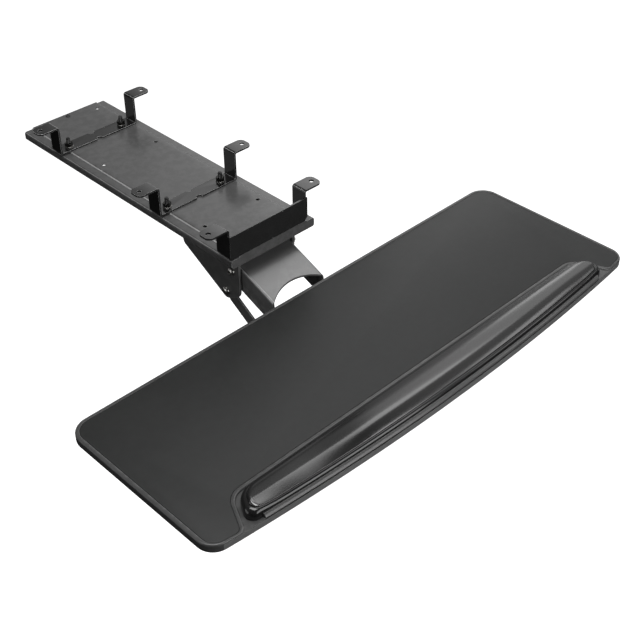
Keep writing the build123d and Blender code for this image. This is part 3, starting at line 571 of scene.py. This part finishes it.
def rounded(corners):
    """Points of a closed outline. Each corner is (x, y, radius), and stays a plain point with no radius."""
    points = []
    for index, (x, y, radius) in enumerate(corners):
        corner = Vector((x, y))
        if not radius:
            points.append(corner)
            continue
        before = (Vector(corners[index - 1][:2]) - corner).normalized()
        after = (Vector(corners[(index + 1) % len(corners)][:2]) - corner).normalized()
        half_angle = before.angle(after) / 2
        centre = corner + (before + after).normalized() * (radius / sin(half_angle))
        first = corner + before * (radius * cos(half_angle) / sin(half_angle)) - centre
        last = corner + after * (radius * cos(half_angle) / sin(half_angle)) - centre
        swing = first.angle(last)
        for step in range(corner_steps + 1):
            share = step / corner_steps
            reach = first * sin((1 - share) * swing) + last * sin(share * swing)
            points.append(centre + reach / sin(swing))
    return points


def both_hands(left):
    """The left half's corners, from back to front, then the right half's, from front to back."""
    return left + [(-x, y, radius) for x, y, radius in reversed(left)]


def add_ring(form, points, height):
    """Vertices on an outline at one height in millimetres, or at a height for each point."""
    heights = height if isinstance(height, list) else [height] * len(points)
    return [form.verts.new(place(point.x, point.y, up)) for point, up in zip(points, heights)]


def join_rings(form, low, high):
    """A wall of four-sided faces between two rings of the same count."""
    for index in range(len(low)):
        after = (index + 1) % len(low)
        form.faces.new((low[index], low[after], high[after], high[index]))


def close_shell(form, rings):
    """Walls between the rings, a face over each end, and all faces turned outwards."""
    for low, high in zip(rings, rings[1:]):
        join_rings(form, low, high)
    form.faces.new(rings[-1])
    form.faces.new(rings[0][::-1])
    bmesh.ops.recalc_face_normals(form, faces=form.faces)


def moved_in(points, by):
    """The outline moved inwards; it runs anticlockwise."""
    moved = []
    for index, point in enumerate(points):
        along = (points[(index + 1) % len(points)] - points[index - 1]).normalized()
        moved.append(point + Vector((-along.y, along.x)) * by)
    return moved


def edge_steps(radius, count=4):
    """(way in, way up) of a rounded edge, from the wall to the top."""
    turns = [pi / 2 * step / count for step in range(count + 1)]
    return [(radius * (1 - cos(turn)), radius * sin(turn)) for turn in turns]


board_left = [(-board_half, 0.0, back_corner), (-board_half, bowed_front(board_half), front_corner)]
board_line = rounded(both_hands(board_left + [(x, bowed_front(x), 0) for x in range(-320, 0, 16)]))
form = bmesh.new()
rings = [add_ring(form, moved_in(board_line, inward), foot_rounding - board_thickness - up)
         for inward, up in reversed(edge_steps(foot_rounding))]
rings += [add_ring(form, board_line, height) for height in (ledge_top - 0.3, ledge_top)]
close_shell(form, rings)
board = sharp_by_angle(put_in_scene("moulded_board", form), 40)
board_grey = coated("board_plastic", tone=0.075, roughness=0.24, grain=0.7, bump=0.04, spread=0.05)
dress(board, board_grey, "board_plastic", "tray", "tray_board")
# Painted light: faces that look straight forward get a paler grey, as if lit from the front, while the ends
# keep the darker grey
front_lit_grey = coated("board_front_painted_light", tone=0.17, roughness=0.34, grain=0.7, bump=0.06, spread=0.05)
board.data.materials.append(front_lit_grey)
for face in board.data.polygons:
    if face.normal.y < -0.97:
        face.material_index = 1

# The mat comes forward in a tab at each end, with a bay for the palm rest between, and the rim follows it
rim_width = 5.0
rim_rounding = 1.9
rim_inner_rounding = 0.5
tab_x = 316.3
bay_x = 294.0
bay_y = -195.8
mat_half = board_half - rim_width
mat_left = [(-mat_half, -rim_width, 20.0), (-mat_half, bowed_front(mat_half, 3.3), 17.0),
            (-tab_x, bowed_front(tab_x, 2.5), 8.0), (-bay_x, bay_y, 25.0)]
rim_left = [(-board_half, 0.0, back_corner), (-board_half, bowed_front(board_half), front_corner),
            (-tab_x + 4.2, bowed_front(tab_x), 9.0), (-bay_x + 3.1, bay_y - rim_width, 21.0)]
mat_line = rounded(both_hands(mat_left))
rim_line = rounded(both_hands(rim_left))
form = bmesh.new()
rings = [add_ring(form, rim_line, ledge_top)]
for inward, up in edge_steps(rim_rounding, 6):
    rings.append(add_ring(form, moved_in(rim_line, inward), up - rim_rounding))
for inward, up in reversed(edge_steps(rim_inner_rounding, 3)):
    rings.append(add_ring(form, moved_in(mat_line, -inward), up - rim_inner_rounding))
rings.append(add_ring(form, mat_line, ledge_top))
for low, high in zip(rings, rings[1:] + rings[:1]):
    join_rings(form, low, high)
bmesh.ops.recalc_face_normals(form, faces=form.faces)
dress(sharp_by_angle(put_in_scene("raised_rim", form), 40), board_grey, "board_plastic", "tray")

# The lip's section is (way behind the front edge, height over the board's top)
lip_half = 287.0
lip_stations = 72
lip_section = ((4.5, -2.0), (4.5, 3.3), (4.1, 3.65), (3.5, 3.6), (2.7, 3.1), (1.9, 2.3), (1.1, 1.3),
               (0.5, 0.3), (0.25, -0.3), (0.3, -0.7), (0.6, -0.85), (1.6, -0.9), (1.6, -2.0))
form = bmesh.new()
rows = []
for station in range(lip_stations + 1):
    x = lip_half * (2 * station / lip_stations - 1)
    rows.append([form.verts.new(place(x, bowed_front(x, margin), up)) for margin, up in lip_section])
close_shell(form, rows)
dress(sharp_by_angle(put_in_scene("rest_lip", form), 50), board_grey, "board_plastic", "tray")

# Mat
# A thin rubber mat is glued inside the rim, a little below it. Its surface is closed and dull, with a
# fine grain.
mat_gap = 0.25
mat_foot = ledge_top + 0.05
mat_top = -0.15
mat_rounding = 0.5
form = bmesh.new()
rings = [add_ring(form, moved_in(mat_line, mat_gap), mat_foot)]
for inward, up in edge_steps(mat_rounding, 3):
    rings.append(add_ring(form, moved_in(mat_line, mat_gap + inward), mat_top - mat_rounding + up))
close_shell(form, rings)
mat = sharp_by_angle(put_in_scene("rubber_mat", form), 50)
mat_tint = (0.97, 1.0, 0.985)
mat_rubber = coated("mat_rubber", tone=0.024, roughness=0.45, grain=0.6, bump=0.15, ior=1.4, tint=mat_tint)
dress(mat, mat_rubber, "mat_rubber", "tray", "tray_mat")

# Palm rest base
# A glossy plastic base sits on the ledge and in the bay of the mat. Its sides round over to a flat seat
# for the pad, and its ends swell up into low domes round the pad's ends.
rest_half = 304.0
rest_back = -204.3
rest_wall = 2.0
rest_height = 8.0
rest_steps = 8
well_depth = 1.0
end_swell = 2.6
corner_room = 26.0
last_station = 270
rest_stations = range(-last_station, 0, 15)


def rest_outline(half, margin, back, slant, front_radius, back_radius):
    """Outline of the rest, always with the same count of points. Its ends slant in towards the back."""
    stretch = half / rest_half
    backs = [(x * (half - slant - corner_room) / last_station, back, 0) for x in reversed(rest_stations)]
    fronts = [(x * stretch, bowed_front(x * stretch, margin), 0) for x in rest_stations]
    end = [(slant - half, back, back_radius), (-half, bowed_front(half, margin), front_radius)]
    return rounded(both_hands(backs + end + fronts))


def smooth(value, low, high):
    """0 below low and 1 above high, with smooth ends."""
    way = min(max((value - low) / (high - low), 0.0), 1.0)
    return way * way * (3 - 2 * way)


def end_share(point):
    """0 along the rest and 1 at its tips."""
    return smooth(abs(point.x), 268.0, 298.0)


base_line = rest_outline(307.0, 4.5, rest_back, slant=19.0, front_radius=10.0, back_radius=27.0)
seat_line = rest_outline(299.0, 8.2, rest_back - 4.0, slant=17.0, front_radius=9.0, back_radius=24.0)
rise = rest_height - rest_wall
form = bmesh.new()
rings = [add_ring(form, base_line, ledge_top)]
for step in range(rest_steps + 1):
    turn = pi / 2 * step / rest_steps
    line = [foot.lerp(seat, 1 - cos(turn)) for foot, seat in zip(base_line, seat_line)]
    heights = [rest_wall + (rise + end_swell * end_share(point)) * sin(turn) for point in line]
    rings.append(add_ring(form, line, heights))
well_line = moved_in(seat_line, 0.5)
well_heights = [rest_height - well_depth + end_swell * end_share(point) for point in well_line]
rings.append(add_ring(form, well_line, well_heights))
close_shell(form, rings)
rest_base = sharp_by_angle(put_in_scene("rest_frame", form), 45)
rest_gloss = coated("rest_gloss_plastic", tone=0.012, roughness=0.16, grain=1.5, bump=0.02, ior=1.6,
                    spread=0.04)
dress(rest_base, rest_gloss, "rest_plastic", "tray", "palm_rest_base")

# Palm rest
# A gel pad under a smooth, tight cover lies on the base's seat. It has one crown nearer to the user,
# lower towards its ends, and a welt along its back edge.
pad_gap = 0.3
pad_foot = rest_height + 0.1
shoulder_in = 0.3
shoulder_up = 1.45
pad_side = ((1.0, -0.9), (0.4, -0.6), (0.05, 0.0), (0.0, 0.8), (0.08, 1.15), (shoulder_in, shoulder_up))
pad_back = rest_back - 4.3
pad_end_rise = 2.2
pad_rings = 28
ring_spacing = 1.2
last_share = 0.965
spine_half = 287.0
crest_share = 0.4
crown_height = 7.7
left_drop = 4.0
right_drop = 1.6


def spine_point(point):
    """The crest beside a point of the edge."""
    x = min(max(point.x, -spine_half), spine_half)
    foot = bowed_front(x, 8.9)
    return Vector((x, foot + (pad_back - foot) * crest_share))


def hump(way, middle, half_width):
    """1 at the middle, and 0 from half a width away."""
    return max(0.0, 1 - ((way - middle) / half_width) ** 2)


def pad_height(edge, crest, share):
    """Height over the pad's shoulder at a share of the way to the crest."""
    lowered = left_drop * smooth(-crest.x, 110.0, 215.0) + right_drop * smooth(crest.x, 215.0, spine_half)
    front = smooth(crest.y - edge.y, 0.0, 10.0)
    fullness = 2.15 + front * (0.35 - 1.25 * smooth(-crest.x, 130.0, 215.0))
    lift = (crown_height - lowered) * (1 - (1 - share) ** fullness)
    way = share * (crest - edge).length
    behind = smooth(edge.y - crest.y, 0.0, 10.0) * smooth(spine_half - abs(crest.x), 0.0, 20.0)
    welt = 0.3 * hump(way, 2.2, 2.2) - 0.07 * hump(way, 6.0, 1.6)
    return lift + welt * behind


pad_line = moved_in(seat_line, pad_gap)
form = bmesh.new()
rings = []
for inward, up in pad_side:
    line = moved_in(pad_line, inward)
    heights = [pad_foot + up + pad_end_rise * end_share(point) for point in line]
    rings.append(add_ring(form, line, heights))
pad_edge = moved_in(pad_line, shoulder_in)
crests = [spine_point(point) for point in pad_edge]
for step in range(1, pad_rings + 1):
    share = last_share * (step / pad_rings) ** ring_spacing
    line = [edge.lerp(crest, share) for edge, crest in zip(pad_edge, crests)]
    end_rise = pad_end_rise * (1 - smooth(share, 0.0, 1.0))
    heights = [pad_foot + shoulder_up + end_rise * end_share(edge) + pad_height(edge, crest, share)
               for edge, crest in zip(pad_edge, crests)]
    rings.append(add_ring(form, line, heights))
for low, high in zip(rings, rings[1:]):
    join_rings(form, low, high)
form.faces.new(rings[0][::-1])

# The last ring runs down both sides of the crest, and a strip of faces between the sides closes it
last = rings[-1]
half = len(last) // 2
for first in (0, half):
    side = last[first:first + half]
    for index in range(half // 2 - 1):
        opposite = half - 1 - index
        form.faces.new((side[index], side[index + 1], side[opposite - 1], side[opposite]))
form.faces.new((last[0], last[half - 1], last[half], last[-1]))
bmesh.ops.recalc_face_normals(form, faces=form.faces)
pad = sharp_by_angle(put_in_scene("gel_pad", form), 70)
pad_cover = coated("pad_cover", tone=0.012, roughness=0.22, grain=1.1, bump=0.03, ior=1.9, spread=0.04)
dress(pad, pad_cover, "rest_cover", "tray", "palm_rest")
